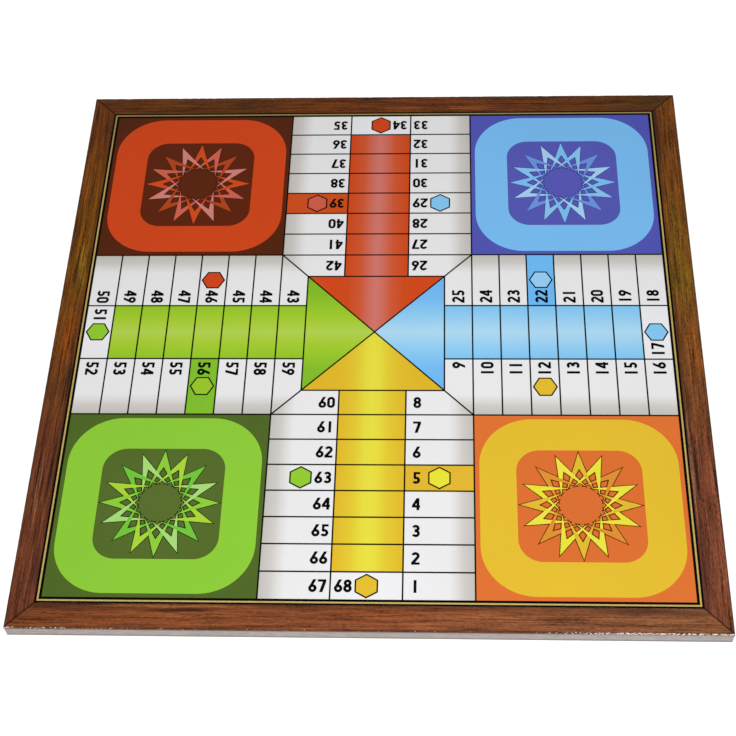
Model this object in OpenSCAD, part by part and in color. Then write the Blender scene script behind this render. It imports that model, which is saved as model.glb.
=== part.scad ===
/* [Board] */
// Length of each side of the square board
board_side = 400; // [360:5:480]
// Thickness of each of the two grey board plies
core_ply_t = 4.1; // [2:0.1:8]
// Thickness of the sheet glued under the core
backing_t = 0.3; // [0.2:0.05:1]
// Thickness of the white card that carries the print
card_t = 1.3; // [1:0.1:3]
// Thickness of one printed film
ink_t = 0.1; // [0.05:0.01:0.2]

/* [Frame] */
// Width of each wooden frame strip
strip_w = 15.2; // [8:0.1:24]
// Radius of the strips' outer top edge
strip_round_r = 1; // [0.3:0.1:1.1]
// Width of the glue line in each mitre
mitre_gap = 0.2; // [0.05:0.05:0.5]
// Clearance between the card and the frame strips
card_gap = 0.1; // [0.05:0.05:0.4]
// Width of the gold line
gold_line_w = 1; // [0.6:0.1:3]
// Width of the black line on each side of the gold line
border_line_w = 1.05; // [0.4:0.05:2]

/* [Spaces] */
// Width of the black lines between spaces
grid_line_w = 0.9; // [0.4:0.05:1.2]
// Bare gap between printed areas, under the black lines
print_gap = 0.2; // [0.1:0.05:0.3]
// Distance from a safe hexagon's tip to the edge of its space
hexagon_gap = 1.1; // [0.8:0.1:3]
// Width of the black outline of a safe hexagon
hexagon_line_w = 0.85; // [0.3:0.05:1]

/* [Homes] */
// Distance from the edge of a home to its band
band_gap = 3; // [1:0.1:5]
// Width of a home's band
band_w = 21.3; // [16:0.1:24]
// Corner radius of the band's outer edge
band_corner_r = 31; // [16:1:40]
// Corner radius of the window inside the band
window_corner_r = 14; // [6:1:20]
// Distance from the window's edge to the star's points
star_gap = 1; // [0.8:0.1:4]
// Radius of the star's points at which the three sizes below hold
star_drawn_r = 35.6; // [32:0.1:42]
// Radius where the two legs of a star point part
star_notch_r = 23.1; // [18:0.1:26]
// Radius of the ring where the legs end
star_ring_r = 12.7; // [8:0.1:16]
// Width of a leg where it ends, measured from the star's middle
star_leg_w = 1.3; // [0.6:0.1:2]

/* [Numerals] */
// Height of a numeral
digit_h = 7.8; // [7:0.1:10]
// Width of a numeral
digit_w = 4.7; // [4:0.1:5.3]
// Thickness of the strokes
digit_stroke = 1.6; // [0.8:0.05:1.7]
// Space between two numerals
digit_space = 0.5; // [0.2:0.1:1.2]
// Distance from the lane's edge to a two-figure number
number_gap = 2.2; // [1:0.1:3]
// Distance from the lane's edge to a one-figure number
single_gap = 4.5; // [1:0.1:8]

/* [Hidden] */
$fn = 64;
cut = 1;

PLAYERS = ["yellow", "blue", "red", "green"];
SIDES = ["front", "right", "back", "left"];

ground_colors = ["#E07030", "#4F4BB0", "#5A2513", "#4F6A2A"];
band_colors = ["#E5C035", "#74B5E8", "#C84A1E", "#88CB38"];
star_colors = ["#EFE437", "#9CCBE4", "#D56A5C", "#8FD24A"];
lane_colors = ["#E3C632", "#8CC8F0", "#CB5733", "#98C831"];
start_colors = ["#E2B232", "#6FB6EE", "#CF4B20", "#7DBF2F"];
hexagon_colors = ["#E3BF33", "#7CC4F0", "#CE4A20", "#86C636"];
light_colors = ["#EAE23C", "#8CC6F0", "#CB6450", "#8FC42C"];
ink_black = "#151312";

// Heights of the layers, from the surface that the board lies on
lower_ply_z = backing_t;
upper_ply_z = lower_ply_z + core_ply_t;
face_z = upper_ply_z + core_ply_t;
first_print_z = face_z + card_t;
second_print_z = first_print_z + ink_t;
strip_t = card_t + 2 * ink_t;

// The field is 21 units wide: two homes and one arm between them
home_units = 7;
arm_units = 7;
goal_units = 5;
columns = 3;
border_w = gold_line_w + 2 * border_line_w;
card_side = board_side - 2 * strip_w - 2 * card_gap;
field_side = board_side - 2 * (strip_w + border_w);
unit = field_side / (2 * home_units + arm_units);
rows = home_units + (arm_units - goal_units) / 2;
column_w = arm_units * unit / columns;
arm_side = arm_units * unit;
goal_side = goal_units * unit;
home_side = home_units * unit;
home_centre = (arm_side + home_side) / 2;
start_row = 5;
spaces_per_player = 2 * rows + 1;
all_spaces = len(PLAYERS) * spaces_per_player;

hexagon_r = unit / 2 - hexagon_gap;
window_side = home_side - 2 * (band_gap + band_w);
// The star keeps its shape as it follows the window
star_r = window_side / 2 - star_gap;
star_scale = star_r / star_drawn_r;
star_points = 16;
point_step = 360 / star_points;
// The legs of points three steps apart meet at their ends and just overlap
leg_steps = 1.52;
leg_angle = leg_steps * point_step;

// Level strokes are a little thinner than upright and slanted ones
flat_stroke = digit_stroke * 0.88;
slant_stroke = digit_stroke * 1.15;
// Angle by which an arc runs on into the stroke that it meets
joint_a = 6;
bowl_r = digit_w / 2;
small_bowl_r = (digit_h + digit_stroke * 0.8) / 2 - bowl_r;
bowl = [bowl_r, bowl_r];
small_bowl = [bowl_r, digit_h - small_bowl_r];

function row_y(row) = (row - 0.5) * unit - field_side / 2;
function left_number(side, row) =
    (spaces_per_player * side - row + all_spaces - 1) % all_spaces + 1;
function right_number(side, row) = spaces_per_player * side + row;
function middle_number(side) = (spaces_per_player * side + all_spaces - 1) % all_spaces + 1;

// Turns what is drawn for the front player to another player's side
module to_side(side) rotate(90 * side) children();

module first_print() translate([0, 0, first_print_z]) linear_extrude(ink_t) children();
module second_print() translate([0, 0, second_print_z]) linear_extrude(ink_t) children();

module square_ring(outer, width) {
    difference() {
        square(outer, center = true);
        square(outer - 2 * width, center = true);
    }
}

module rounded_square(side, r) {
    inner = side - 2 * r;
    square([side, inner], center = true);
    square([inner, side], center = true);
    for (x = [-1, 1], y = [-1, 1]) translate([x, y] * inner / 2) circle(r);
}

// Core and card

module backing_sheet() {
    color("#D9D4C8")
        translate([0, 0, backing_t / 2]) cube([board_side, board_side, backing_t], center = true);
}

module core_ply(z) {
    color("#B9B2AB")
        translate([0, 0, z + core_ply_t / 2])
            cube([board_side, board_side, core_ply_t], center = true);
}

module lower_core_ply() core_ply(lower_ply_z);

module upper_core_ply() core_ply(upper_ply_z);

module playing_card() {
    color("#EFEFEC")
        translate([0, 0, face_z + card_t / 2]) cube([card_side, card_side, card_t], center = true);
}

// Frame strips with mitred ends and a rounded outer edge

module strip_profile() {
    difference() {
        square([strip_w, strip_t]);
        translate([0, strip_t - strip_round_r]) difference() {
            translate([-cut, 0]) square([strip_round_r + cut, strip_round_r + cut]);
            translate([strip_round_r, 0]) circle(strip_round_r);
        }
    }
}

module mitred_outline() {
    outer = board_side / 2;
    inner = outer - strip_w;
    ease = mitre_gap / sqrt(2);
    polygon([
        [ease - outer, -outer], [outer - ease, -outer],
        [inner - ease, -inner], [ease - inner, -inner]
    ]);
}

module frame_strip(side) {
    color("#7E4527") to_side(side) translate([0, 0, face_z]) intersection() {
        translate([-board_side / 2, -board_side / 2, 0])
            rotate([90, 0, 90]) linear_extrude(board_side) strip_profile();
        translate([0, 0, -cut]) linear_extrude(strip_t + 2 * cut) mitred_outline();
    }
}

// Border lines round the field

module black_border() {
    color(ink_black) first_print() square_ring(card_side, (card_side - field_side - print_gap) / 2);
}

module gold_line() {
    color("#C4AA55") second_print()
        square_ring(field_side + 2 * (border_w - border_line_w), gold_line_w);
}

// Spaces of one arm, drawn for the front player

module space(column, row) {
    translate([column * column_w, row_y(row)])
        square([column_w - print_gap, unit - print_gap], center = true);
}

// The inmost outer spaces are cut along the line from the home's corner to the goal
module corner_space(column) {
    ease = print_gap / 2;
    slant = ease * sqrt(2);
    lane_x = column_w / 2 + ease;
    low_y = -arm_side / 2 + ease;
    high_y = -goal_side / 2 - ease;
    mirror([column < 0 ? 1 : 0, 0]) polygon([
        [lane_x, low_y], [-low_y - slant, low_y],
        [-high_y - slant, high_y], [lane_x, high_y]
    ]);
}

module goal_triangle() {
    base = goal_side / 2 - print_gap / 2;
    slant = print_gap / sqrt(2);
    polygon([[slant - base, -base], [base - slant, -base], [0, -slant]]);
}

module white_spaces() {
    color("#E6E6E8") first_print() for (side = [0:3]) to_side(side) {
        space(0, 1);
        for (row = [1:rows - 1]) {
            space(-1, row);
            if (row != start_row) space(1, row);
        }
        corner_space(-1);
        corner_space(1);
    }
}

module finish_lane(side) {
    color(lane_colors[side]) first_print() to_side(side) {
        for (row = [2:rows]) space(0, row);
        goal_triangle();
    }
}

module start_space(side) {
    color(start_colors[side]) first_print() to_side(side) space(1, start_row);
}

// Black lines between the spaces

module upright_line(x, length) {
    translate([x - grid_line_w / 2, -field_side / 2]) square([grid_line_w, length]);
}

module arm_lines() {
    for (row = [1:home_units - 1])
        translate([0, row_y(row + 0.5)]) square([arm_side, grid_line_w], center = true);
    for (end = [-1, 1]) {
        upright_line(end * column_w / 2, rows * unit);
        upright_line(end * arm_side / 2, home_side);
    }
}

module grid_lines() {
    color(ink_black) second_print() {
        for (side = [0:3]) to_side(side) arm_lines();
        for (outline = [field_side, arm_side, goal_side])
            square_ring(outline + grid_line_w, grid_line_w);
        for (turn = [45, 135]) rotate(turn) square([arm_side * sqrt(2), grid_line_w], center = true);
    }
}

// Safe hexagons

module hexagon(r) rotate(90) circle(r, $fn = 6);

module at_space(column, row) translate([column * column_w, row_y(row)]) children();

module hexagon_fill() hexagon(hexagon_r - hexagon_line_w / cos(30));

module hexagon_outlines() {
    color(ink_black) second_print() for (side = [0:3]) to_side(side) {
        for (place = [[-1, start_row], [0, 1], [1, start_row]])
            at_space(place[0], place[1]) difference() {
                hexagon(hexagon_r);
                hexagon_fill();
            }
    }
}

module start_hexagon(side) {
    color(light_colors[side]) second_print() to_side(side) at_space(1, start_row) hexagon_fill();
}

// A player's two other safe spaces: the head of the lane, and one on the next player's arm
module safe_hexagons(side) {
    color(hexagon_colors[side]) second_print() {
        to_side(side) at_space(0, 1) hexagon_fill();
        to_side(side + 1) at_space(-1, start_row) hexagon_fill();
    }
}

// Homes, at the right hand of their player

module at_home(side) to_side(side) translate([home_centre, -home_centre]) children();

module home_ground(side) {
    color(ground_colors[side]) first_print() at_home(side)
        square(home_side - print_gap, center = true);
}

module home_band(side) {
    color(band_colors[side]) second_print() at_home(side) difference() {
        rounded_square(home_side - 2 * band_gap, band_corner_r);
        rounded_square(window_side, window_corner_r);
    }
}

module star_point() {
    inner_end = star_scale * star_ring_r * [sin(leg_angle), cos(leg_angle)];
    outer_end = star_scale * (star_ring_r + star_leg_w) * [sin(leg_angle), cos(leg_angle)];
    notch = [0, star_scale * star_notch_r];
    polygon([
        [0, star_r], [-outer_end[0], outer_end[1]], [-inner_end[0], inner_end[1]],
        notch, inner_end, outer_end
    ]);
}

module home_star(side) {
    color(star_colors[side]) second_print() at_home(side)
        for (i = [1:star_points]) rotate(i * point_step) star_point();
}

// Numerals, each in a box of digit_w by digit_h

module ring_stroke(r) {
    difference() {
        circle(r);
        circle(r - digit_stroke);
    }
}

// The stretch of a ring between two angles
module arc_stroke(r, from, to) {
    reach = 2 * r;
    steps = 6;
    intersection() {
        ring_stroke(r);
        polygon([
            [0, 0],
            for (i = [0:steps]) let (a = from + (to - from) * i / steps) reach * [cos(a), sin(a)]
        ]);
    }
}

module bar(x, y, w, h) translate([x, y]) square([w, h]);

module oblong(r) {
    for (y = [bowl_r, digit_h - bowl_r]) translate([bowl_r, y]) circle(r);
    translate([bowl_r - r, bowl_r]) square([2 * r, digit_h - digit_w]);
}

module figure_0() {
    difference() {
        oblong(bowl_r);
        oblong(bowl_r - digit_stroke);
    }
}

module figure_1() bar((digit_w - digit_stroke) / 2, 0, digit_stroke, digit_h);

module figure_2() {
    end_a = -35;
    middle = [bowl_r, digit_h - bowl_r];
    outer_end = middle + bowl_r * [cos(end_a), sin(end_a)];
    inner_end = middle + (bowl_r - digit_stroke) * [cos(end_a), sin(end_a)];
    translate(middle) arc_stroke(bowl_r, end_a - joint_a, 160);
    heel_x = digit_stroke * 1.4;
    polygon([outer_end, inner_end, [0, flat_stroke], [0, 0], [heel_x, flat_stroke]]);
    bar(0, 0, digit_w, flat_stroke);
}

// An eight with a mouth cut in its left side
module figure_3() {
    waist_x = digit_w * 0.36;
    mouth_low = digit_h * 0.1;
    mouth_high = digit_h * 0.9;
    difference() {
        figure_8();
        polygon([
            bowl, [waist_x, bowl_r], [waist_x, small_bowl[1]], small_bowl,
            [-cut, mouth_high], [-cut, mouth_low]
        ]);
    }
}

module figure_4() {
    stem_x = digit_w * 0.56;
    bar_y = digit_h * 0.22;
    bar(stem_x, 0, digit_stroke, digit_h);
    bar(0, bar_y, digit_w, flat_stroke);
    polygon([
        [0, bar_y], [slant_stroke, bar_y], [slant_stroke, bar_y + flat_stroke],
        [stem_x + digit_stroke / 2, digit_h - digit_stroke],
        [stem_x + digit_stroke, digit_h], [stem_x, digit_h], [0, bar_y + flat_stroke]
    ]);
}

module figure_5() {
    stem_x = digit_w * 0.16;
    stem_end = stem_x + flat_stroke;
    middle = bowl - [digit_w * 0.04, 0];
    end_a = 122;
    inner_end = middle + (bowl_r - digit_stroke) * [cos(end_a), sin(end_a)];
    stem_low = inner_end[1] + digit_stroke * 0.3;
    join_y = inner_end[1] + digit_stroke * 0.7;
    bar(stem_x, digit_h - flat_stroke, digit_w * 0.8, flat_stroke);
    translate(middle) arc_stroke(bowl_r, -150, end_a + joint_a);
    polygon([
        [stem_x, digit_h], [stem_x, stem_low], inner_end, [stem_end, join_y], [stem_end, digit_h]
    ]);
}

// The stem leaves the bowl along a tangent just inside its edge
module figure_6() {
    tip = [digit_w * 0.54, digit_h];
    to_bowl = bowl - tip;
    far = norm(to_bowl);
    inset = digit_stroke * 0.1;
    turn = asin((bowl_r - inset) / far);
    heading = atan2(to_bowl[1], to_bowl[0]) - turn;
    touch = tip + far * cos(turn) * [cos(heading), sin(heading)];
    translate(bowl) ring_stroke(bowl_r);
    polygon([touch, bowl + [0, bowl_r - digit_stroke / 2], tip + [slant_stroke, 0], tip]);
}

module figure_7() {
    foot_x = digit_w * 0.2;
    bar(0, digit_h - flat_stroke, digit_w, flat_stroke);
    polygon([
        [foot_x, 0], [foot_x + slant_stroke, 0], [digit_w, digit_h - flat_stroke],
        [digit_w, digit_h], [digit_w - slant_stroke, digit_h - flat_stroke]
    ]);
}

module figure_8() {
    translate(small_bowl) ring_stroke(small_bowl_r);
    translate(bowl) ring_stroke(bowl_r);
}

module figure_9() translate([digit_w, digit_h]) rotate(180) figure_6();

module figure(n) {
    if (n == 0) figure_0();
    if (n == 1) figure_1();
    if (n == 2) figure_2();
    if (n == 3) figure_3();
    if (n == 4) figure_4();
    if (n == 5) figure_5();
    if (n == 6) figure_6();
    if (n == 7) figure_7();
    if (n == 8) figure_8();
    if (n == 9) figure_9();
}

function number_w(n) = n < 10 ? digit_w : 2 * digit_w + digit_space;

// A number whose left edge is at x and whose middle is at y
module number(n, x, y) {
    units_x = x + number_w(n) - digit_w;
    translate([units_x, y - digit_h / 2]) figure(n % 10);
    if (n > 9) translate([x, y - digit_h / 2]) figure(floor(n / 10));
}

module numerals(side) {
    lane_edge = column_w / 2;
    color(ink_black) second_print() to_side(side) {
        for (row = [1:rows]) {
            left = left_number(side, row);
            right = right_number(side, row);
            number(left, -lane_edge - number_gap - number_w(left), row_y(row));
            number(right, lane_edge + (right < 10 ? single_gap : number_gap), row_y(row));
        }
        number(middle_number(side), number_gap - lane_edge, row_y(1));
    }
}

backing_sheet();
lower_core_ply();
upper_core_ply();
playing_card();
black_border();
gold_line();
white_spaces();
grid_lines();
hexagon_outlines();
for (i = [0:3]) {
    frame_strip(i);
    home_ground(i);
    home_band(i);
    home_star(i);
    finish_lane(i);
    start_space(i);
    start_hexagon(i);
    safe_hexagons(i);
    numerals(i);
}
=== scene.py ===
import math
import random
import bpy
from mathutils import Matrix, Vector


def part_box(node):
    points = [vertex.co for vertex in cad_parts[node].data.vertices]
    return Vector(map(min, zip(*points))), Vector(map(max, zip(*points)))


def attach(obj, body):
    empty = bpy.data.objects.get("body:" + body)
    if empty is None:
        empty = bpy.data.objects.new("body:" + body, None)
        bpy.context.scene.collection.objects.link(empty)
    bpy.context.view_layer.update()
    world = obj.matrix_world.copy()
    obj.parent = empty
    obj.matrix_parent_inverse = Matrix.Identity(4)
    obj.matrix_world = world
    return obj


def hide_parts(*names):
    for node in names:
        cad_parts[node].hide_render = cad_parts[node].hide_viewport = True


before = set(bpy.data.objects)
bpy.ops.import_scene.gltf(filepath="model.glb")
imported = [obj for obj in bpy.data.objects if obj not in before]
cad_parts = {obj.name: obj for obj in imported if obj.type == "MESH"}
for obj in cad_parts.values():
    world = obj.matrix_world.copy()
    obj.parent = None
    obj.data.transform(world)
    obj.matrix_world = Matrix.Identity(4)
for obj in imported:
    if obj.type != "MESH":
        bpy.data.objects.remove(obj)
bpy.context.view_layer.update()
mm = 0.001
near = 0.001 * mm  # places closer than this count as the same
softAngle = math.radians(35)  # sharper edges stay sharp
scene = bpy.context.scene
scene.view_settings.view_transform = "Standard"
print("frame loaded:", len(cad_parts), "nodes")


def linear(colour):  # sRGB hex to linear RGBA
    parts = [int(colour[i:i + 2], 16) / 255 for i in (1, 3, 5)]
    return [p / 12.92 if p <= 0.04045 else ((p + 0.055) / 1.055) ** 2.4 for p in parts] + [1.0]


# Adds one node with its settings, its links or values, and the stops of its ramp
def addNode(tree, kind, inputs=None, stops=None, **settings):
    node = tree.nodes.new("ShaderNode" + kind)
    for name, value in settings.items():
        setattr(node, name, value)
    for socket, value in (inputs or {}).items():
        if isinstance(value, bpy.types.NodeSocket):
            tree.links.new(value, node.inputs[socket])
        else:
            node.inputs[socket].default_value = value
    if stops:
        marks = node.color_ramp.elements
        marks[0].position, marks[1].position = stops[0][0], stops[-1][0]
        for place, colour in stops[1:-1]:
            marks.new(place)
        for mark, (place, colour) in zip(marks, stops):
            mark.color = linear(colour)
    return node


def newMaterial(name):
    material = bpy.data.materials.new(name)
    material.use_nodes = True
    tree = material.node_tree
    return material, tree, tree.nodes["Principled BSDF"]


# Links a finished colour, and lets one pattern vary the sheen and one the relief
def finishSurface(tree, shader, colour, sheen, relief, spec):
    tree.links.new(colour, shader.inputs["Base Color"])
    smooth, rough = spec["roughness"]
    varied = addNode(tree, "MapRange", {"Value": sheen, "To Min": smooth, "To Max": rough})
    tree.links.new(varied.outputs[0], shader.inputs["Roughness"])
    bump = addNode(tree, "Bump", {"Height": relief, "Strength": spec["bump"],
                                  "Distance": spec["bumpDepth"]})
    tree.links.new(bump.outputs[0], shader.inputs["Normal"])


def deselectAll():
    if bpy.context.object and bpy.context.object.mode != "OBJECT":
        bpy.ops.object.mode_set(mode="OBJECT")
    bpy.ops.object.select_all(action="DESELECT")


def selectOnly(obj):
    deselectAll()
    obj.select_set(True)
    bpy.context.view_layer.objects.active = obj


def selectEdges(obj, isWanted):  # from edit mode, by the places of an edge's two ends
    bpy.ops.mesh.select_mode(type="EDGE")
    bpy.ops.mesh.select_all(action="DESELECT")
    bpy.ops.object.mode_set(mode="OBJECT")
    points = obj.data.vertices
    for edge in obj.data.edges:
        edge.select = isWanted(*[points[i].co for i in edge.vertices])
    bpy.ops.object.mode_set(mode="EDIT")


def closePlate(height):  # from edit mode, a flat shape becomes a closed plate
    bpy.ops.mesh.select_all(action="SELECT")
    bpy.ops.mesh.extrude_region_move(TRANSFORM_OT_translate={"value": (0, 0, height)})
    bpy.ops.mesh.select_all(action="SELECT")
    bpy.ops.mesh.normals_make_consistent(inside=False)
    bpy.ops.object.mode_set(mode="OBJECT")


def placedCopy(source, name, turn):  # own mesh, place and turn written into it
    copy = source.copy()
    copy.data = source.data.copy()
    copy.name = copy.data.name = name
    bpy.context.collection.objects.link(copy)
    copy.data.transform(turn)
    return copy


def joinPieces(pieces, name):
    deselectAll()
    for piece in pieces:
        piece.select_set(True)
    bpy.context.view_layer.objects.active = pieces[0]
    bpy.ops.object.join()
    joined = bpy.context.object
    joined.name = joined.data.name = name
    return joined


def paint(piece, material):  # the one material of a new piece
    piece.data.materials.clear()
    piece.data.materials.append(material)


def dress(node, material):  # a better material in the slots of a frame node
    for slot in bpy.data.objects[node].material_slots:
        slot.material = material


# Printed inks
inkSpec = {
    "patterns": {  # size, then detail
        "mottle": (1.6 * mm, 3.0),  # ink lies unevenly on the card
        "drift": (45 * mm, 1.0),    # slow change across the sheet
        "peel": (0.7 * mm, 2.0),    # varnish skin, coarser than real so that it shows
    },
    "span": (0.7, 1.3),    # usual range of mottle and drift added up
    "depth": 0.018,        # how far they lighten and darken the ink
    "roughness": (0.36, 0.48),
    "bump": 0.035,
    "bumpDepth": 0.05 * mm,
    "gloss": 0.06,
    "blackGloss": 0.02,    # black soaks in and shines less
}
homeLow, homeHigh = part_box("yellow_home_ground")
homeAway = (homeLow.x + homeHigh.x) / 2  # the four homes lie equally far out both ways
homeMiddle = (homeAway, homeAway, 0)


# Offset ink on card under satin varnish: even colour, faint mottle, soft sheen
def varnishedInk(name, tones, gloss=inkSpec["gloss"], inHome=False):
    if isinstance(tones, str):  # one tone all over
        tones = [(0, tones), (1, tones)]
    material, tree, shader = newMaterial(name)
    spot = addNode(tree, "TexCoord").outputs["Object"]
    parts = addNode(tree, "SeparateXYZ", {0: spot}).outputs
    across = addNode(tree, "Math", {0: parts["X"]}, operation="ABSOLUTE").outputs[0]
    along = addNode(tree, "Math", {0: parts["Y"]}, operation="ABSOLUTE").outputs[0]
    if inHome:  # shaded outwards from the middle of the home
        folded = addNode(tree, "CombineXYZ", {"X": across, "Y": along})
        aside = addNode(tree, "VectorMath", {0: folded.outputs[0], 1: homeMiddle},
                        operation="DISTANCE").outputs["Value"]
    else:  # shaded outwards from the middle of the lane
        aside = addNode(tree, "Math", {0: across, 1: along}, operation="MINIMUM").outputs[0]
    far = tones[-1][0]
    reach = addNode(tree, "MapRange", {"Value": aside, "From Max": far * mm})
    stops = [(place / far, colour) for place, colour in tones]
    base = addNode(tree, "ValToRGB", {0: reach.outputs[0]}, stops)
    mottle, drift, peel = [
        addNode(tree, "TexNoise", {"Vector": spot, "Scale": 1 / size, "Detail": detail}).outputs["Fac"]
        for size, detail in inkSpec["patterns"].values()]
    both = addNode(tree, "Math", {0: mottle, 1: drift}, operation="ADD")
    least, most = inkSpec["span"]
    level = addNode(tree, "MapRange", {"Value": both.outputs[0], "From Min": least, "From Max": most,
                                       "To Min": 1 - inkSpec["depth"], "To Max": 1 + inkSpec["depth"]})
    shade = addNode(tree, "HueSaturation", {"Color": base.outputs[0], "Value": level.outputs[0]})
    finishSurface(tree, shader, shade.outputs[0], peel, peel, inkSpec)
    shader.inputs["Specular IOR Level"].default_value = gloss
    return material


# Tones are given all over, or by mm from the middle of the lane or the home
whiteTones = [(0, "#EFEFF2"), (20, "#EBEBED"), (46, "#EAEAEB"),
              (50, "#E0DEDC"), (54, "#D0CCC8"), (61, "#C1BDB7")]
dress("white_spaces", varnishedInk("white_spaces_ink", whiteTones))
blackTone = "#030303"
for node in ("black_border", "grid_lines", "hexagon_outlines",
             "front_numerals", "right_numerals", "back_numerals", "left_numerals"):
    dress(node, varnishedInk(node + "_black_ink", blackTone, inkSpec["blackGloss"]))
print("white and black inks done")

colourTones = {
    "yellow": {
        "home_ground": [(0, "#D96E31"), (45, "#DC6F30"), (78, "#DE7332")],
        "home_band": "#E3BC31",
        "finish_lane": [(0, "#E8DE44"), (4, "#E6DB3E"), (10, "#E2C833"),
                        (18, "#E1BA2D"), (30, "#E0B627"), (44, "#E2B528")],
        "start_space": "#E0B632",
        "start_hexagon": "#E8E138",
        "safe_hexagons": "#E2BC2E",
    },
    "blue": {
        "home_ground": [(0, "#5A59BA"), (45, "#555AB3"), (78, "#5155B3")],
        "home_band": "#7BBFF5",
        "finish_lane": [(0, "#AFDBF3"), (4, "#A9D7F4"), (10, "#97D1F5"),
                        (18, "#85C8F3"), (26, "#76BDF5"), (44, "#6FB5F2")],
        "start_space": "#70BBF6",
        "start_hexagon": "#99CFF6",
        "safe_hexagons": "#86C9F5",
    },
    "red": {
        "home_ground": [(0, "#5A2409"), (45, "#5C2107"), (78, "#502108")],
        "home_band": "#D1471A",
        "finish_lane": [(0, "#D3796F"), (4, "#D16F5F"), (10, "#D15833"),
                        (18, "#D04B1C"), (26, "#D34818"), (44, "#D34B1B")],
        "start_space": "#D04F1D",
        "start_hexagon": "#CF5F4C",
        "safe_hexagons": "#D3471D",
    },
    "green": {
        "home_ground": [(0, "#596D2C"), (45, "#526928"), (78, "#4D6524")],
        "home_band": "#8CCB39",
        "finish_lane": [(0, "#B3D453"), (4, "#AED143"), (10, "#A5CE30"),
                        (18, "#97C82B"), (28, "#86BE2A"), (44, "#7BB92A")],
        "start_space": "#81BF2E",
        "start_hexagon": "#98C62C",
        "safe_hexagons": "#92CB32",
    },
}
for colour, areas in colourTones.items():
    for area, tones in areas.items():
        node = colour + "_" + area
        dress(node, varnishedInk(node + "_ink", tones, inHome=area == "home_ground"))
print("colour inks done")

# Gold line
goldSpec = {
    "patterns": {  # size, then detail
        "grit": (0.8 * mm, 2.0),   # bronze flakes, coarser than real so that they show
        "drift": (60 * mm, 1.0),   # slow change along the line
    },
    "gritTones": [(0.3, "#A58340"), (0.7, "#D0B45D")],
    "driftTone": "#B8A354",
    "backShadeFrom": 110 * mm,  # painted shade: the line darkens towards the back, where less light falls
    "backShadeTo": 175 * mm,
    "backShadeShare": 0.6,
    "backShadeTone": "#78672F",
    "roughness": (0.38, 0.55),
    "bump": 0.08,
    "bumpDepth": 0.03 * mm,
    "metallic": 0.25,
}


# Bronze powder ink: partly metal, gold to brown, with a fine grit
def bronzeInk(name):
    material, tree, shader = newMaterial(name)
    spot = addNode(tree, "TexCoord").outputs["Object"]
    parts = addNode(tree, "SeparateXYZ", {0: spot}).outputs
    grit, drift = [
        addNode(tree, "TexNoise", {"Vector": spot, "Scale": 1 / size, "Detail": detail}).outputs["Fac"]
        for size, detail in goldSpec["patterns"].values()]
    # painted shade: the line darkens towards the back
    backShade = addNode(tree, "MapRange", {"Value": parts["Y"], "From Min": goldSpec["backShadeFrom"],
                                      "From Max": goldSpec["backShadeTo"], "To Max": goldSpec["backShadeShare"]})
    tone = addNode(tree, "ValToRGB", {0: grit}, goldSpec["gritTones"]).outputs[0]
    for share, colour in ((drift, goldSpec["driftTone"]), (backShade.outputs[0], goldSpec["backShadeTone"])):
        tone = addNode(tree, "Mix", {0: share, 6: tone, 7: linear(colour)}, data_type="RGBA").outputs[2]
    finishSurface(tree, shader, tone, grit, grit, goldSpec)
    shader.inputs["Metallic"].default_value = goldSpec["metallic"]
    return material


dress("gold_line", bronzeInk("gold_line_bronze_ink"))
print("gold line done")

# Home stars: sixteen overlapping darts, each lying under its left neighbour
starSpec = {
    "points": 16,
    "drawn": 35.6,           # the star's radius for which the next four are given, all in mm
    "tip": 34.95,
    "notch": 24.2,
    "legOuter": 13.3,        # end of a leg, far corner
    "legInner": 13.02,       # near corner
    "legTurn": 34.0875,      # degrees from the point to the end of a leg
    "plate": 0.014 * mm,     # thickness of a dart
    "tilt": 0.23,            # degrees, so that a dart's right leg lies on top
    "float": 0.0525 * mm,    # height of the darts' middle over the ground
    "sheet": 0.015 * mm,     # thickness of the dark outline under the darts
    "spike": 1.8 * mm,       # the outline runs on past the end of each leg
    "spikeBase": 0.9 * mm,
    "spikeEnd": 0.55 * mm,
    "spikeHeight": 0.012 * mm,
}
starRims = {"yellow": 0.34 * mm, "blue": 0.02 * mm, "red": 0.06 * mm, "green": 0.24 * mm}  # ink spread
starTones = {  # clockwise from the back, four tones in turn, then the outline
    "yellow": ["#E0B932", "#E8E13A", "#DD8F31", "#EAE245", "#5A2606"],
    "blue": ["#7CC4F4", "#8BC8F3", "#6E94E2", "#AAD5F6", "#34348C"],
    "red": ["#D34D1C", "#D26452", "#B2451D", "#D5837A", "#2A0D05"],
    "green": ["#8ECD3C", "#AAD539", "#72C43C", "#A8DA7A", "#172806"],
}
legTurn = math.radians(starSpec["legTurn"])
legWay = Vector((math.sin(legTurn), math.cos(legTurn), 0))  # from the middle to the end of a right leg


def makeDart(scale):  # one dart pointing to +Y about the origin, right leg tilted up
    outer, inner = legWay * starSpec["legOuter"], legWay * starSpec["legInner"]
    places = [(0, starSpec["tip"], 0), (-outer.x, outer.y, 0), (-inner.x, inner.y, 0),
              (0, starSpec["notch"], 0), (inner.x, inner.y, 0), (outer.x, outer.y, 0)]
    deselectAll()
    bpy.ops.mesh.primitive_circle_add(vertices=len(places), radius=scale, fill_type="NGON")
    dart = bpy.context.object
    for vertex, place in zip(dart.data.vertices, places):
        vertex.co = Vector(place) * scale
    bpy.ops.object.mode_set(mode="EDIT")
    bpy.ops.mesh.select_mode(type="VERT")
    bpy.ops.mesh.select_all(action="DESELECT")
    bpy.ops.object.mode_set(mode="OBJECT")
    for i in (0, 3):  # tip and notch
        dart.data.vertices[i].select = True
    bpy.ops.object.mode_set(mode="EDIT")
    bpy.ops.mesh.vert_connect()
    closePlate(starSpec["plate"])
    dart.data.transform(Matrix.Rotation(-math.radians(starSpec["tilt"]), 4, "Y"))
    return dart


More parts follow.
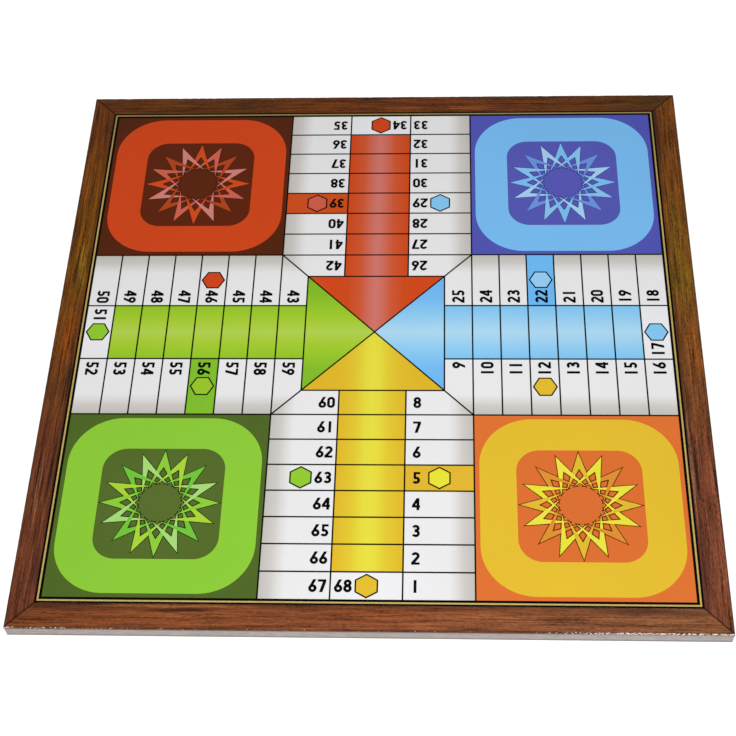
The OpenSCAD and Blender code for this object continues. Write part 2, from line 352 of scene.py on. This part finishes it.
def makeSpike(scale, hand):  # dark tip past the end of a dart's right or left leg
    end = legWay * starSpec["legOuter"] * scale
    heading = (end - Vector((0, starSpec["tip"], 0)) * scale).normalized()
    aside = Vector((-heading.y, heading.x, 0)) / 2
    far = end + heading * starSpec["spike"]
    places = [end + aside * starSpec["spikeBase"], end - aside * starSpec["spikeBase"],
              far - aside * starSpec["spikeEnd"], far + aside * starSpec["spikeEnd"]]
    deselectAll()
    bpy.ops.mesh.primitive_circle_add(vertices=len(places), radius=scale, fill_type="NGON")
    spike = bpy.context.object
    for vertex, place in zip(spike.data.vertices, places):
        vertex.co = (hand * place.x, place.y, 0)
    bpy.ops.object.mode_set(mode="EDIT")
    closePlate(starSpec["spikeHeight"])
    return spike


def makeStar(colour):
    node = colour + "_home_star"
    low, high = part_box(node)
    middle = Vector(((low.x + high.x) / 2, (low.y + high.y) / 2, low.z))
    scale = (high.x - low.x) / 2 / starSpec["drawn"]
    *dartInks, outlineInk = [varnishedInk(colour + "_star_ink_" + str(i + 1), tone)
                             for i, tone in enumerate(starTones[colour])]
    outline = placedCopy(bpy.data.objects[node], colour + "StarOutline", Matrix.Identity(4))
    selectOnly(outline)
    bpy.ops.object.mode_set(mode="EDIT")
    bpy.ops.mesh.select_all(action="SELECT")
    bpy.ops.mesh.remove_doubles(threshold=near / 10)
    bpy.ops.transform.shrink_fatten(value=starRims[colour], use_even_offset=True)
    bpy.ops.object.mode_set(mode="OBJECT")
    for vertex in outline.data.vertices:
        isTop = vertex.co.z > (low.z + high.z) / 2
        vertex.co.z = low.z + (starSpec["sheet"] if isTop else 0)
    paint(outline, outlineInk)
    pieces = [outline]
    dart = makeDart(scale)
    spikes = [makeSpike(scale, hand) for hand in (-1, 1)]
    ground = Matrix.Translation(middle)
    lifted = Matrix.Translation(middle + Vector((0, 0, starSpec["float"])))
    for i in range(starSpec["points"]):
        turn = Matrix.Rotation(-2 * math.pi * i / starSpec["points"], 4, "Z")
        parts = [(dart, lifted, dartInks[i % len(dartInks)])]
        parts += [(spike, ground, outlineInk) for spike in spikes]
        for source, placing, ink in parts:
            copy = placedCopy(source, colour + "Dart" + str(i), placing @ turn)
            paint(copy, ink)
            pieces.append(copy)
    for source in (dart, *spikes):
        bpy.data.objects.remove(source)
    star = joinPieces(pieces, colour + "Star")
    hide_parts(node)
    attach(star, "root")


for colour in starTones:
    makeStar(colour)
print("stars done")

# Frame strips: one is modelled at the front and copied round
stripSpec = {
    "steps": 200,          # lengths along the strip, one knock each
    "round": 1.0 * mm,     # outer arris
    "roundCuts": 5,
    "ease": 0.12 * mm,     # inner arris
    "easeCuts": 1,
    "dent": 0.16 * mm,     # deepest knock on the outer arris
    "rareness": 4,         # the higher, the fewer deep knocks
    "seed": 11,
}


def makeStrip():
    low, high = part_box("front_frame_strip")
    deselectAll()
    bpy.ops.mesh.primitive_grid_add(x_subdivisions=stripSpec["steps"], y_subdivisions=2, size=1)
    strip = bpy.context.object
    for vertex in strip.data.vertices:
        vertex.co.x = vertex.co.x * (high.x - low.x) + (low.x + high.x) / 2
        vertex.co.y = vertex.co.y * (high.y - low.y) + (low.y + high.y) / 2
        vertex.co.z = low.z
    bpy.ops.object.mode_set(mode="EDIT")
    bpy.ops.mesh.select_all(action="SELECT")
    bpy.ops.mesh.extrude_region_move(TRANSFORM_OT_translate={"value": (0, 0, high.z - low.z)})
    for end in (-1, 1):  # mitres
        bpy.ops.mesh.select_all(action="SELECT")
        bpy.ops.mesh.bisect(plane_co=(end * high.x, low.y, 0), plane_no=(end, 1, 0),
                            use_fill=True, clear_outer=True)
    bpy.ops.mesh.select_all(action="SELECT")
    bpy.ops.mesh.normals_make_consistent(inside=False)
    for side, size, cuts in ((low.y, stripSpec["round"], stripSpec["roundCuts"]),
                             (high.y, stripSpec["ease"], stripSpec["easeCuts"])):
        selectEdges(strip, lambda *ends: all(
            abs(p.y - side) < near and abs(p.z - high.z) < near for p in ends))
        bpy.ops.mesh.bevel(offset=size, segments=cuts, affect="EDGES")
    bpy.ops.mesh.select_mode(type="FACE")
    bpy.ops.mesh.select_all(action="DESELECT")
    bpy.ops.object.mode_set(mode="OBJECT")
    for face in strip.data.polygons:
        face.select = abs(face.normal.x) > 0.5  # mitre faces
    bpy.ops.object.mode_set(mode="EDIT")
    bpy.ops.mesh.poke()  # even triangles there
    bpy.ops.object.mode_set(mode="OBJECT")
    return strip


def knockArris(strip, draws):  # small knocks, mostly shallow, along the rounded edge
    low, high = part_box("front_frame_strip")
    reach = stripSpec["round"]
    slack = 1e-4  # of the round, so that its two ends stay in place
    pitch = (high.x - low.x) / stripSpec["steps"]
    depths = [draws.random() ** stripSpec["rareness"] * stripSpec["dent"]
              for i in range(stripSpec["steps"] + 2)]
    for vertex in strip.data.vertices:
        inward = (vertex.co.y - low.y) / reach
        down = (high.z - vertex.co.z) / reach
        if all(slack < share < 1 - slack for share in (inward, down)):
            depth = depths[int((vertex.co.x - low.x) / pitch + 0.5)]
            vertex.co.y += depth * (1 - inward)
            vertex.co.z -= depth * (1 - down)


# Wood grain, told for a strip that lies along X at the front and turned for the others
woodSpec = {
    "grain": {  # mm along and across, then detail; flecks, pores and pale specks are coarser than real
        "figure": (80, 2.6, 2.0),
        "streak": (24, 1.0, 3.0),
        "fleck": (2.6, 0.55, 2.0),
        "pore": (2.4, 0.5, 1.0),
        "speck": (1.1, 0.5, 1.0),
    },
    "grainRough": 0.55,
    "grainBend": 0.25,
    "grainSpan": 1.0,        # range of the added patterns that gives the whole contrast
    "streaks": 1.6,          # weight beside the figure
    "waver": 0.8 * mm,       # the patches follow the grain
    "waverSpan": (0.25, 0.75),
    "combed": (0.35, 0.6, 0.7),  # streaks thin the patches: from, to, least share
    "patchCore": 0.25,       # share of a patch's size that has its full strength
    "pores": (0.6, 0.7, 0.45),   # from, to, most share
    "poreTone": "#2A1006",
    "innerShadeWide": 5.0 * mm,   # painted shade: darker band beside the print
    "innerShadeTone": "#2A150C",
    "shadowLineFrom": 0.35 * mm,   # painted shadow: near-black line where strip and print meet
    "shadowLineTo": 0.15 * mm,
    "shadowLineShare": 0.92,
    "shadowLineTone": "#0C0604",
    "arrisShadeFrom": 1.25 * mm,  # painted shade: dark line along the rounded outer edge
    "arrisShadeTo": 0.6 * mm,
    "arrisShadeTone": "#2A1608",
    "mitreFrom": 0.8 * mm,   # dark line at each corner
    "mitreTo": 0.3 * mm,
    "mitreShare": 0.85,
    "mitreTone": "#150A06",
    "cutFrom": 0.75 * mm,    # bare cut side below the varnished round
    "cutTo": 1.0 * mm,
    "cutTones": [(0.3, "#5C473A"), (0.7, "#846E60")],
    "speckFrom": 0.12 * mm,   # pale specks on the round, depth below the top
    "speckTo": 0.3 * mm,
    "speckRight": (85 * mm, 130 * mm),    # where they become more frequent
    "speckLeft": (-110 * mm, -185 * mm),
    "speckLeftShare": 0.6,
    "speckRarer": 0.2,        # how much rarer they are in between
    "speckEdge": (0.5, 0.54),
    "speckTone": "#F2E6E0",
    "roughness": (0.36, 0.54),
    "bump": 0.15,
    "bumpDepth": 0.05 * mm,
    "gloss": 0.07,
}
# tones: mm along the strip; patches: mm along, mm from the print, half length, half width, tone, strength
# per side, the share of painted shade beside the print and along the outer edge is larger where that edge
# faces away from the light
woodSides = {
    "front": {
        "turn": 0, "shift": (0, 0), "contrast": 0.85, "flecks": 1.0,
        "innerShade": 0.5, "arris": 0.45, "specks": 1.0,
        "tones": [(-155, "#7A4222"), (0, "#834727"), (155, "#825031")],
        "patches": [
            (-165, 2.2, 55, 3.6, "#3E2416", 0.6),
            (-108, 1.2, 56, 1.6, "#B4723E", 1.0),
            (-103, 3.8, 30, 1.4, "#2E1610", 1.0),
            (-105, 6.6, 50, 2.6, "#96562C", 0.5),
            (-30, 1.8, 45, 2.0, "#552C1A", 0.4),
            (80, 7.5, 50, 3.5, "#9A5C36", 0.5),
            (85, 1.6, 42, 1.8, "#5A301C", 0.35),
            (150, 2.2, 45, 3.4, "#3A2418", 0.65),
        ],
    },
    "right": {
        "turn": -90, "shift": (3.7, 8.51), "contrast": 0.95, "flecks": 1.2,
        "innerShade": 0.45, "arris": 0.6, "specks": 0.1,
        "tones": [(-100, "#733F29"), (50, "#774C15"), (155, "#723F13")],
        "patches": [
            (-155, 2.6, 45, 4.0, "#301A18", 0.5),
            (-140, 12.5, 75, 3.5, "#8E5036", 0.65),
            (-98, 1.2, 48, 1.8, "#A87050", 0.95),
            (-98, 3.9, 27, 1.6, "#241210", 1.0),
            (-50, 2.6, 16, 2.8, "#2E2410", 0.6),
            (-5, 1.8, 45, 2.2, "#4A260C", 0.4),
            (-15, 10.0, 35, 5.0, "#8C4A1A", 0.5),
            (38, 7.5, 24, 12.0, "#625412", 0.45),
            (72, 6.5, 56, 5.5, "#6C5210", 0.55),
            (165, 1.5, 45, 3.0, "#2E1A0C", 0.65),
        ],
    },
    "back": {
        "turn": 180, "shift": (8.1, 18.63), "contrast": 1.0, "flecks": 0.9,
        "innerShade": 0.12, "arris": 0.9, "specks": 0.1,
        "tones": [(-165, "#56300E"), (-50, "#6E3815"), (155, "#5C300B")],
        "patches": [
            (-190, 9.0, 30, 8.0, "#40300F", 0.5),
            (-50, 3.8, 42, 2.2, "#8A5024", 0.6),
            (-45, 7.0, 32, 1.5, "#33190A", 0.6),
            (-75, 12.2, 65, 3.6, "#40200D", 0.6),
            (93, 7.5, 14, 7.0, "#35200A", 0.5),
        ],
    },
    "left": {
        "turn": 90, "shift": (12.9, 29.67), "contrast": 1.1, "flecks": 0.7,
        "innerShade": 0.3, "arris": 0.55, "specks": 0.1,
        "tones": [(-155, "#66350A"), (-60, "#774707"), (75, "#60331B"), (155, "#6A3822")],
        "patches": [
            (-130, 8.0, 50, 2.4, "#7C4A1A", 0.5),
            (-95, 0.9, 24, 0.8, "#2A160A", 0.7),
            (-80, 12.2, 45, 3.4, "#3E260A", 0.6),
            (-50, 4.4, 38, 3.4, "#8E6A1C", 0.8),
            (-45, 8.2, 16, 2.6, "#2C220A", 0.85),
            (0, 2.2, 42, 2.2, "#62280A", 0.45),
            (5, 7.0, 30, 6.0, "#944A10", 0.75),
            (35, 2.2, 14, 2.6, "#382610", 0.6),
            (103, 3.0, 25, 1.5, "#24120E", 1.0),
            (112, 9.5, 35, 4.5, "#84523A", 0.4),
            (165, 2.6, 24, 3.0, "#341A18", 0.6),
        ],
    },
}


# Sliced veneer under satin varnish: dark figure, golden patches, streaks, fine flecks, pale specks, with
# painted shade along both edges and a painted shadow line beside the print
def mahoganyVeneer(side):
    spec = woodSides[side]
    low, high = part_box("front_frame_strip")
    material, tree, shader = newMaterial(side + "_mahogany_veneer")
    spot = addNode(tree, "TexCoord").outputs["Object"]
    turn = (0, 0, math.radians(spec["turn"]))
    laid = addNode(tree, "Mapping", {"Vector": spot, "Rotation": turn}).outputs[0]
    x, y, z = addNode(tree, "SeparateXYZ", {0: laid}).outputs
    noises = {}
    for name, (length, width, detail) in woodSpec["grain"].items():
        scaled = addNode(tree, "Mapping", {"Vector": laid, "Location": (*spec["shift"], 0),
                                           "Scale": [1 / (size * mm) for size in (length, width, width)]})
        noises[name] = addNode(tree, "TexNoise", {
            "Vector": scaled.outputs[0], "Scale": 1.0, "Detail": detail,
            "Roughness": woodSpec["grainRough"], "Distortion": woodSpec["grainBend"]}).outputs["Fac"]

    # Tone along the strip, then the patches, which sway with the figure and are combed by the streaks
    least, most = woodSpec["waverSpan"]
    sway = addNode(tree, "MapRange", {"Value": noises["figure"], "From Min": least, "From Max": most,
                                      "To Min": -woodSpec["waver"], "To Max": woodSpec["waver"]})
    aside = addNode(tree, "CombineXYZ", {"Y": sway.outputs[0]})
    swayed = addNode(tree, "VectorMath", {0: laid, 1: aside.outputs[0]}, operation="ADD").outputs[0]
    start, full, least = woodSpec["combed"]
    comb = addNode(tree, "MapRange", {"Value": noises["streak"], "From Min": start, "From Max": full,
                                      "To Min": least}).outputs[0]
    length = addNode(tree, "MapRange", {"Value": x, "From Min": low.x, "From Max": high.x})
    stops = [((place * mm - low.x) / (high.x - low.x), colour) for place, colour in spec["tones"]]
    tone = addNode(tree, "ValToRGB", {0: length.outputs[0]}, stops).outputs[0]
    for along, inward, halfLong, halfWide, colour, strength in spec["patches"]:
        middle = high.y - inward * mm
        placed = addNode(tree, "Mapping", {
            "Vector": swayed, "Location": (-along / halfLong, -middle / (halfWide * mm), 0),
            "Scale": (1 / (halfLong * mm), 1 / (halfWide * mm), 0)})
        off = addNode(tree, "VectorMath", {0: placed.outputs[0]}, operation="LENGTH")
        mask = addNode(tree, "MapRange", {"Value": off.outputs["Value"], "From Min": 1.0,
                                          "From Max": woodSpec["patchCore"], "To Max": strength},
                       interpolation_type="SMOOTHSTEP")
        combed = addNode(tree, "Math", {0: mask.outputs[0], 1: comb}, operation="MULTIPLY")
        tone = addNode(tree, "Mix", {0: combed.outputs[0], 6: tone, 7: linear(colour)},
                       data_type="RGBA").outputs[2]

    # Figure, streaks and flecks lighten and darken the tone
    blend = addNode(tree, "Math", {0: noises["streak"], 1: woodSpec["streaks"], 2: noises["figure"]},
                    operation="MULTIPLY_ADD").outputs[0]
    blend = addNode(tree, "Math", {0: noises["fleck"], 1: spec["flecks"], 2: blend},
                    operation="MULTIPLY_ADD").outputs[0]
    mean = (1 + woodSpec["streaks"] + spec["flecks"]) / 2
    least, most = mean - woodSpec["grainSpan"] / 2, mean + woodSpec["grainSpan"] / 2
    grain = addNode(tree, "MapRange", {"Value": blend, "From Min": least, "From Max": most,
                                       "To Min": 1 - spec["contrast"], "To Max": 1 + spec["contrast"]})
    tone = addNode(tree, "HueSaturation", {"Color": tone, "Value": grain.outputs[0]}).outputs[0]

    # Distance from the mitre, the cut side and the pale specks, for the layers below
    runOut = addNode(tree, "Math", {0: x}, operation="ABSOLUTE")
    wide = addNode(tree, "Math", {0: y}, operation="ABSOLUTE")
    offMitre = addNode(tree, "Math", {0: runOut.outputs[0], 1: wide.outputs[0]}, operation="SUBTRACT")
    fromMitre = addNode(tree, "Math", {0: offMitre.outputs[0]}, operation="ABSOLUTE").outputs[0]
    cut = addNode(tree, "ValToRGB", {0: noises["streak"]}, woodSpec["cutTones"]).outputs[0]
    start, full = woodSpec["speckRight"]
    rightEnd = addNode(tree, "MapRange", {"Value": x, "From Min": start, "From Max": full})
    start, full = woodSpec["speckLeft"]
    leftEnd = addNode(tree, "MapRange", {"Value": x, "From Min": start, "From Max": full,
                                         "To Max": woodSpec["speckLeftShare"]})
    ends = addNode(tree, "Math", {0: rightEnd.outputs[0], 1: leftEnd.outputs[0]}, operation="MAXIMUM")
    rarer = addNode(tree, "MapRange", {"Value": ends.outputs[0], "To Min": woodSpec["speckRarer"],
                                       "To Max": 0.0})
    chance = addNode(tree, "Math", {0: noises["speck"], 1: rarer.outputs[0]}, operation="SUBTRACT")
    start, full = woodSpec["speckEdge"]
    specked = addNode(tree, "MapRange", {"Value": chance.outputs[0], "From Min": start, "From Max": full})
    arris = addNode(tree, "MapRange", {"Value": z, "From Min": high.z - woodSpec["speckFrom"],
                                       "From Max": high.z - woodSpec["speckTo"]})
    specks = addNode(tree, "Math", {0: specked.outputs[0], 1: arris.outputs[0]},
                    operation="MULTIPLY").outputs[0]

    layers = [  # pattern, where it starts, where it is full, most share, tone
        (noises["pore"], *woodSpec["pores"], linear(woodSpec["poreTone"])),
        # painted shade beside the print
        (y, high.y - woodSpec["innerShadeWide"], high.y, spec["innerShade"], linear(woodSpec["innerShadeTone"])),
        # painted shadow where strip and print meet
        (y, high.y - woodSpec["shadowLineFrom"], high.y - woodSpec["shadowLineTo"], woodSpec["shadowLineShare"],
         linear(woodSpec["shadowLineTone"])),
        # painted shade along the outer edge
        (y, low.y + woodSpec["arrisShadeFrom"], low.y + woodSpec["arrisShadeTo"], spec["arris"],
         linear(woodSpec["arrisShadeTone"])),
        (fromMitre, woodSpec["mitreFrom"], woodSpec["mitreTo"], woodSpec["mitreShare"],
         linear(woodSpec["mitreTone"])),
        (z, high.z - woodSpec["cutFrom"], high.z - woodSpec["cutTo"], 1.0, cut),
        (specks, 0.0, 1.0, spec["specks"], linear(woodSpec["speckTone"])),
    ]
    for pattern, start, full, share, colour in layers:
        mask = addNode(tree, "MapRange", {"Value": pattern, "From Min": start, "From Max": full,
                                          "To Max": share})
        tone = addNode(tree, "Mix", {0: mask.outputs[0], 6: tone, 7: colour}, data_type="RGBA").outputs[2]
    finishSurface(tree, shader, tone, noises["fleck"], noises["streak"], woodSpec)
    shader.inputs["Specular IOR Level"].default_value = woodSpec["gloss"]
    return material


firstStrip = makeStrip()
draws = random.Random(stripSpec["seed"])
for i, side in enumerate(woodSides):
    strip = placedCopy(firstStrip, side + "Strip", Matrix.Identity(4))
    knockArris(strip, draws)
    strip.data.transform(Matrix.Rotation(i * math.pi / 2, 4, "Z"))
    paint(strip, mahoganyVeneer(side))
    selectOnly(strip)
    bpy.ops.object.shade_smooth_by_angle(angle=softAngle)
    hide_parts(side + "_frame_strip")
    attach(strip, "root")
bpy.data.objects.remove(firstStrip)
print("frame strips done")

# Core plies
plySpec = {
    "corner": 0.6 * mm,    # board cut on a guillotine, corners knocked soft
    "cornerCuts": 4,
    "ease": 0.16 * mm,     # leaves a fine groove where the two plies meet
    "easeCuts": 2,
    "fibreLong": 6 * mm,
    "fibreHigh": 0.6 * mm,
    "fibreDetail": 4.0,
    "fibreRough": 0.6,
    "tones": [(0.3, "#A69C98"), (0.55, "#BDB3AF"), (0.75, "#D2CBC7")],
    "floorShadeFrom": 2.6 * mm,  # height above the ground; painted shade, darker below it
    "floorShadeTo": 1.2 * mm,
    "floorShadeTone": "#857C79",
    "glueFrom": 7.0 * mm,  # painted shadow: brown under the strips
    "glueTo": 8.4 * mm,
    "glueTone": "#6E594C",
    "layerShare": 0.6,
    "roughness": (0.78, 0.92),
    "bump": 0.3,
    "bumpDepth": 0.1 * mm,
    "gloss": 0.15,
}


def makePly(node, name):
    low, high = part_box(node)
    deselectAll()
    bpy.ops.mesh.primitive_cube_add(size=1)
    ply = bpy.context.object
    ply.name = ply.data.name = name
    for vertex in ply.data.vertices:
        vertex.co = [high[i] if vertex.co[i] > 0 else low[i] for i in range(3)]
    bpy.ops.object.mode_set(mode="EDIT")
    for size, cuts, isUpright in ((plySpec["corner"], plySpec["cornerCuts"], True),
                                  (plySpec["ease"], plySpec["easeCuts"], False)):
        selectEdges(ply, lambda a, b: (abs(a.z - b.z) > near) == isUpright)
        bpy.ops.mesh.bevel(offset=size, segments=cuts, affect="EDGES")
    bpy.ops.object.mode_set(mode="OBJECT")
    bpy.ops.object.shade_smooth_by_angle(angle=softAngle)
    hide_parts(node)
    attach(ply, "root")
    return ply


# Pressed waste paper: light grey cut edge with short fibres lying along it, with painted shade low down
# and a painted shadow under the strips
def greyBoard(name):
    material, tree, shader = newMaterial(name)
    spot = addNode(tree, "TexCoord").outputs["Object"]
    z = addNode(tree, "SeparateXYZ", {0: spot}).outputs["Z"]
    long, high = 1 / plySpec["fibreLong"], 1 / plySpec["fibreHigh"]
    flat = addNode(tree, "Mapping", {"Vector": spot, "Scale": (long, long, high)})
    fibre = addNode(tree, "TexNoise", {
        "Vector": flat.outputs[0], "Scale": 1.0, "Detail": plySpec["fibreDetail"],
        "Roughness": plySpec["fibreRough"]}).outputs["Fac"]
    tone = addNode(tree, "ValToRGB", {0: fibre}, plySpec["tones"]).outputs[0]
    # painted shade low down near the floor, then a painted shadow under the strips
    for layer in ("floorShade", "glue"):
        mask = addNode(tree, "MapRange", {"Value": z, "From Min": plySpec[layer + "From"],
                                          "From Max": plySpec[layer + "To"],
                                          "To Max": plySpec["layerShare"]})
        tone = addNode(tree, "Mix", {0: mask.outputs[0], 6: tone, 7: linear(plySpec[layer + "Tone"])},
                       data_type="RGBA").outputs[2]
    finishSurface(tree, shader, tone, fibre, fibre, plySpec)
    shader.inputs["Specular IOR Level"].default_value = plySpec["gloss"]
    return material


coreMaterial = greyBoard("core_grey_board")
for node, name in (("lower_core_ply", "lowerPly"), ("upper_core_ply", "upperPly")):
    paint(makePly(node, name), coreMaterial)
print("core done")

# Card and backing sheet
sheetSpec = {
    "cloud": 3 * mm,       # pulp lies in small clouds
    "cloudDetail": 5.0,
    "cloudRough": 0.6,
    "cardTones": [(0.3, "#E6E6E2"), (0.7, "#F1F1EE")],
    "backingTones": [(0.3, "#CFC9BC"), (0.7, "#DDD8CC")],
    "roughness": (0.72, 0.88),
    "bump": 0.15,
    "bumpDepth": 0.05 * mm,
}


# Uncoated paper: matt, faint cloudy fibre
def plainPaper(name, tones):
    material, tree, shader = newMaterial(name)
    spot = addNode(tree, "TexCoord").outputs["Object"]
    cloud = addNode(tree, "TexNoise", {
        "Vector": spot, "Scale": 1 / sheetSpec["cloud"], "Detail": sheetSpec["cloudDetail"],
        "Roughness": sheetSpec["cloudRough"]}).outputs["Fac"]
    base = addNode(tree, "ValToRGB", {0: cloud}, tones)
    finishSurface(tree, shader, base.outputs[0], cloud, cloud, sheetSpec)
    return material


dress("playing_card", plainPaper("playing_card_white_card", sheetSpec["cardTones"]))
dress("backing_sheet", plainPaper("backing_sheet_paper", sheetSpec["backingTones"]))
print("sheets done")

# Floor, light and camera
studioSpec = {
    "floor": 6.0,
    "floorLit": "#E8E8E8",   # what the floor throws back on the board
    "floorSeen": "#AAAAAA",  # takes the shadow
    "floorGlow": 0.82,       # lifts it to white
    "world": 0.4,            # light from all round
    "worldSeen": 1.0,        # seen as white
    "keyPlace": (0.05, -0.28, 0.75), "keyPower": 3.75, "keySize": 0.5,
    "fillPlace": (0.2, -1.4, 0.5), "fillPower": 4.0, "fillSize": 0.8,
}
white = linear("#FFFFFF")


def seenRay(tree):  # 1 for what is seen directly, in a reflection or through glass
    path = addNode(tree, "LightPath").outputs
    seen = path["Is Camera Ray"]
    for kind in ("Is Glossy Ray", "Is Transmission Ray"):
        seen = addNode(tree, "Math", {0: seen, 1: path[kind]}, operation="MAXIMUM").outputs[0]
    return seen


deselectAll()
bpy.ops.mesh.primitive_plane_add(size=studioSpec["floor"], location=(0, 0, 0))
floor = bpy.context.object
floor.name = "studioFloor"
# Seamless white paper: seen as white, still takes the shadow
paper, tree = newMaterial("floor_white_paper")[:2]
tree.nodes.clear()
lit = addNode(tree, "BsdfDiffuse", {"Color": linear(studioSpec["floorLit"])})
half = addNode(tree, "BsdfDiffuse", {"Color": linear(studioSpec["floorSeen"])})
glow = addNode(tree, "Emission", {"Color": white, "Strength": studioSpec["floorGlow"]})
both = addNode(tree, "AddShader", {0: half.outputs[0], 1: glow.outputs[0]})
mixed = addNode(tree, "MixShader", {0: seenRay(tree), 1: lit.outputs[0], 2: both.outputs[0]})
addNode(tree, "OutputMaterial", {"Surface": mixed.outputs[0]})
floor.data.materials.append(paper)

world = bpy.data.worlds.new("studioAir")
scene.world = world
world.use_nodes = True
tree = world.node_tree
tree.nodes.clear()
strength = addNode(tree, "MapRange", {"Value": seenRay(tree), "To Min": studioSpec["world"],
                                      "To Max": studioSpec["worldSeen"]})
sky = addNode(tree, "Background", {"Color": white, "Strength": strength.outputs[0]})
addNode(tree, "OutputWorld", {"Surface": sky.outputs[0]})

for name in ("key", "fill"):
    lamp = bpy.data.lights.new(name + "Lamp", "AREA")
    lamp.energy = studioSpec[name + "Power"]
    lamp.size = studioSpec[name + "Size"]
    holder = bpy.data.objects.new(name + "Lamp", lamp)
    holder.location = studioSpec[name + "Place"]
    holder.rotation_euler = (-Vector(studioSpec[name + "Place"])).to_track_quat("-Z", "Y").to_euler()
    bpy.context.collection.objects.link(holder)

cameraSpec = {
    "place": (0.041768, -0.542712, 0.773326),
    "turn": (34.0773, 2.2661, 1.643),  # degrees
    "lens": 74.0689,
    "sensor": 36.0,
}
camera = bpy.data.objects.new("photoCamera", bpy.data.cameras.new("photoCamera"))
camera.location = cameraSpec["place"]
camera.rotation_euler = [math.radians(a) for a in cameraSpec["turn"]]
camera.data.lens = cameraSpec["lens"]
camera.data.sensor_width = cameraSpec["sensor"]
bpy.context.collection.objects.link(camera)
scene.camera = camera
print("floor, light and camera done")
